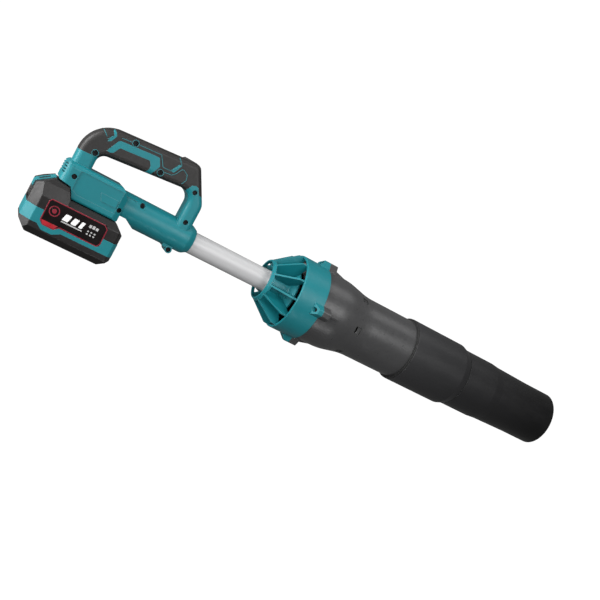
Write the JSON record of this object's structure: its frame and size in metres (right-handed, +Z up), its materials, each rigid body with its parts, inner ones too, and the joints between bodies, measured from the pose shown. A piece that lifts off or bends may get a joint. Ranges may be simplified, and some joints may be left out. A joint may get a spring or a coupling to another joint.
{
  "type": "cordless leaf blower",
  "caption": "Cordless leaf blower with a D-shaped handle, slide-on battery, pole, axial fan unit with ribbed intake guard and pull-off nozzle.",
  "frame": {"origin": "centre of the nozzle outlet, on the pole axis", "axes": "+X forward along the pole to the nozzle outlet, +Z up towards the D-handle, +Y to the left"},
  "size_m": [0.776, 0.117, 0.1597],
  "materials": {
    "housing_plastic": "satin moulded teal plastic",
    "soft_grip": "matt soft-touch grip",
    "duct_plastic": "satin dark grey plastic",
    "nozzle_plastic": "satin black plastic",
    "pole_metal": "matt silver-white coated tube",
    "battery_plastic": "satin black-brown plastic",
    "button_plastic": "textured black plastic",
    "label_film": "gloss printed film",
    "fan_plastic": "glass-filled nylon",
    "seal_rubber": "matt rubber",
    "screw_steel": "blackened steel",
    "motor_steel": "zinc-plated steel",
    "magnet": "sintered ferrite",
    "copper_winding": "enamelled copper wire",
    "cable_sheath": "matt sheath",
    "spring_steel": "bright spring wire",
    "black_plastic": "moulded black plastic",
    "board_green": "solder-masked board",
    "contact_brass": "plated brass",
    "contact_nickel": "nickel strip",
    "cell_wrap": "shrink wrap"
  },
  "bodies": {
    "housing": {"housing_right": "housing_plastic", "housing_left": "housing_plastic", "grip_pad_right": "soft_grip", "grip_pad_left": "soft_grip", "housing_screws": "screw_steel", "switch_module": "black_plastic", "control_board": "board_green", "board_components": "black_plastic", "terminal_block": "black_plastic", "terminal_blades": "contact_brass", "button_spring": "spring_steel", "pole_tube": "pole_metal", "motor_cable": "cable_sheath", "switch_lead": "cable_sheath", "guard_ring": "housing_plastic", "guard_ribs": "housing_plastic", "guard_hub": "housing_plastic", "guard_rear_ring": "housing_plastic", "guard_screws": "screw_steel", "pole_screws": "screw_steel", "motor_can": "motor_steel", "motor_end_cap": "black_plastic", "motor_bearings": "motor_steel", "motor_magnets": "magnet", "stator": "fan_plastic", "tail_cone": "fan_plastic", "duct_housing": "duct_plastic", "nozzle_seal": "seal_rubber"},
    "rotor": {"motor_shaft": "motor_steel", "motor_armature": "copper_winding", "fan_rotor": "fan_plastic", "fan_nut": "screw_steel"},
    "power_button": {"power_button": "button_plastic"},
    "battery": {"battery_upper_case": "battery_plastic", "battery_lower_case": "battery_plastic", "battery_band": "housing_plastic", "battery_label_right": "label_film", "battery_label_left": "label_film", "battery_cells": "cell_wrap", "cell_holders": "black_plastic", "nickel_strips": "contact_nickel", "battery_board": "board_green", "battery_contacts": "contact_brass", "latch_hood": "housing_plastic", "latch_spring": "spring_steel"},
    "battery_latch": {"battery_latch": "button_plastic"},
    "rear_nozzle": {"rear_nozzle": "nozzle_plastic"},
    "front_nozzle": {"front_nozzle": "nozzle_plastic"}
  },
  "joints": [
    {"name": "fan_spin", "type": "hinge", "parent": "housing", "child": "rotor", "pos_m": [-0.419, 0, 0], "axis": [1, 0, 0], "continuous": true},
    {"name": "power_button_press", "type": "slide", "parent": "housing", "child": "power_button", "axis": [0, 0, -1], "range_m": [0, 0.002], "stiffness_N_per_m": 500, "springref_m": -0.001, "deforming": ["button_spring"]},
    {"name": "battery_slide", "type": "slide", "parent": "housing", "child": "battery", "axis": [-1, 0, 0], "range_m": [0, 0.052]},
    {"name": "battery_latch_press", "type": "slide", "parent": "battery", "child": "battery_latch", "axis": [0, 0, -1], "range_m": [0, 0.0025], "stiffness_N_per_m": 400, "springref_m": -0.002, "deforming": ["latch_spring"]},
    {"name": "rear_nozzle_pull", "type": "slide", "parent": "housing", "child": "rear_nozzle", "axis": [1, 0, 0], "range_m": [0, 0.024]},
    {"name": "front_nozzle_pull", "type": "slide", "parent": "rear_nozzle", "child": "front_nozzle", "axis": [1, 0, 0], "range_m": [0, 0.022]}
  ]
}
